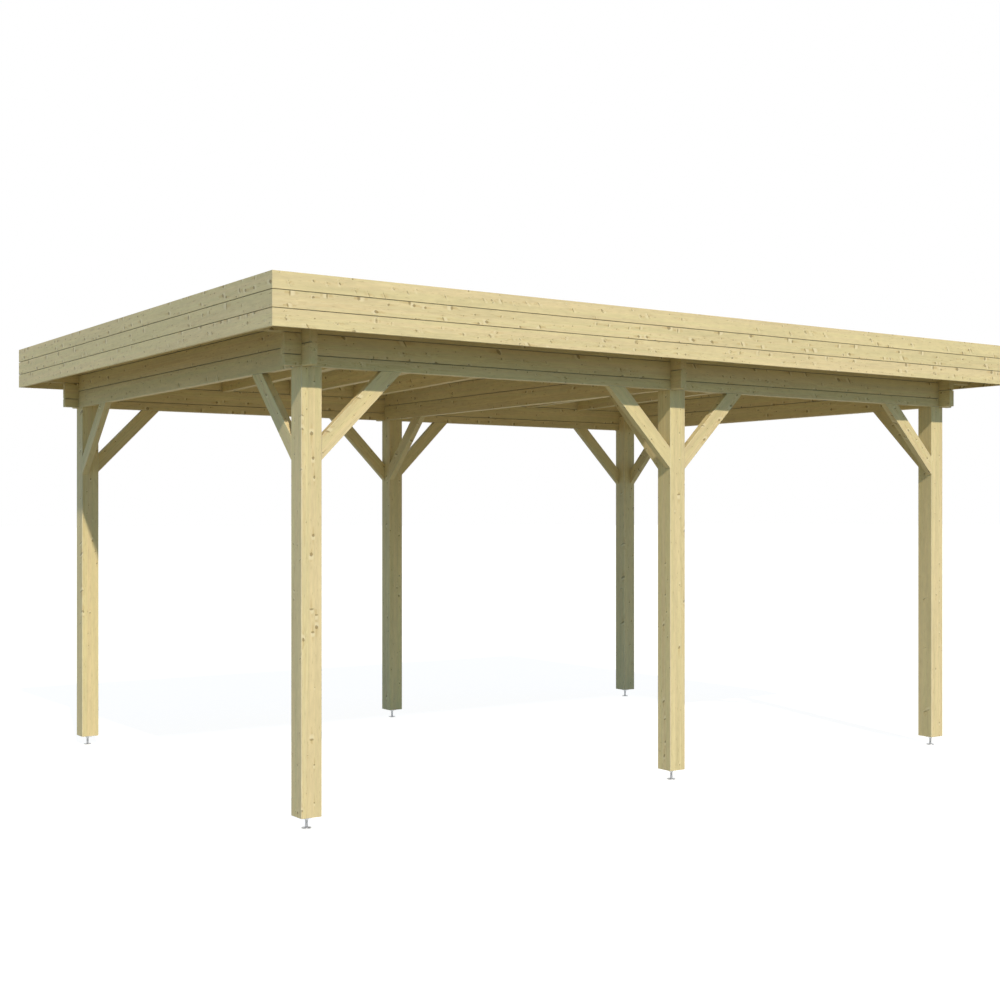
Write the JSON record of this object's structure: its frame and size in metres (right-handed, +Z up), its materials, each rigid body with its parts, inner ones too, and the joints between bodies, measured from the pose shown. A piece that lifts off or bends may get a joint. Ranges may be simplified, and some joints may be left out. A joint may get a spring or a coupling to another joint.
{
  "type": "flat-roofed timber carport",
  "caption": "Free-standing log-beam carport with a flat board-fronted roof on braced square posts and screw feet.",
  "frame": {"origin": "on the ground under the middle of the roof", "axes": "+X along the long side, to the right as seen from the front; +Y from front to back; +Z up"},
  "size_m": [5.743, 4.205, 2.849],
  "materials": {
    "glued_post_spruce": "planed, untreated glued spruce",
    "brace_spruce": "planed, untreated spruce",
    "log_spruce": "planed, untreated spruce logs with eased joints",
    "joist_spruce": "planed, untreated spruce",
    "fascia_spruce": "planed, untreated spruce boards",
    "deck_spruce": "planed, untreated spruce boards",
    "roof_membrane": "dull dark roofing sheet",
    "zinc_steel": "dull zinc plating"
  },
  "bodies": {
    "root": {"back_beam_bottom_half_log": "log_spruce", "back_beam_middle_log": "log_spruce", "back_beam_ripped_log": "log_spruce", "back_fascia": "fascia_spruce", "back_left_braces": "brace_spruce", "back_left_foot": "zinc_steel", "back_left_post": "glued_post_spruce", "back_middle_braces": "brace_spruce", "back_middle_foot": "zinc_steel", "back_middle_post": "glued_post_spruce", "back_right_braces": "brace_spruce", "back_right_foot": "zinc_steel", "back_right_post": "glued_post_spruce", "front_beam_bottom_half_log": "log_spruce", "front_beam_middle_log": "log_spruce", "front_beam_ripped_log": "log_spruce", "front_beam_upper_log": "log_spruce", "front_fascia": "fascia_spruce", "front_left_braces": "brace_spruce", "front_left_foot": "zinc_steel", "front_left_post": "glued_post_spruce", "front_middle_braces": "brace_spruce", "front_middle_foot": "zinc_steel", "front_middle_post": "glued_post_spruce", "front_right_braces": "brace_spruce", "front_right_foot": "zinc_steel", "front_right_post": "glued_post_spruce", "left_bay_joists": "joist_spruce", "left_cross_bottom_log": "log_spruce", "left_cross_middle_log": "log_spruce", "left_cross_ripped_log": "log_spruce", "left_fascia": "fascia_spruce", "middle_cross_bottom_log": "log_spruce", "middle_cross_middle_log": "log_spruce", "middle_cross_ripped_log": "log_spruce", "right_bay_joists": "joist_spruce", "right_cross_bottom_log": "log_spruce", "right_cross_middle_log": "log_spruce", "right_cross_ripped_log": "log_spruce", "right_fascia": "fascia_spruce", "roof_covering": "roof_membrane", "roof_deck": "deck_spruce"}
  },
  "joints": []
}
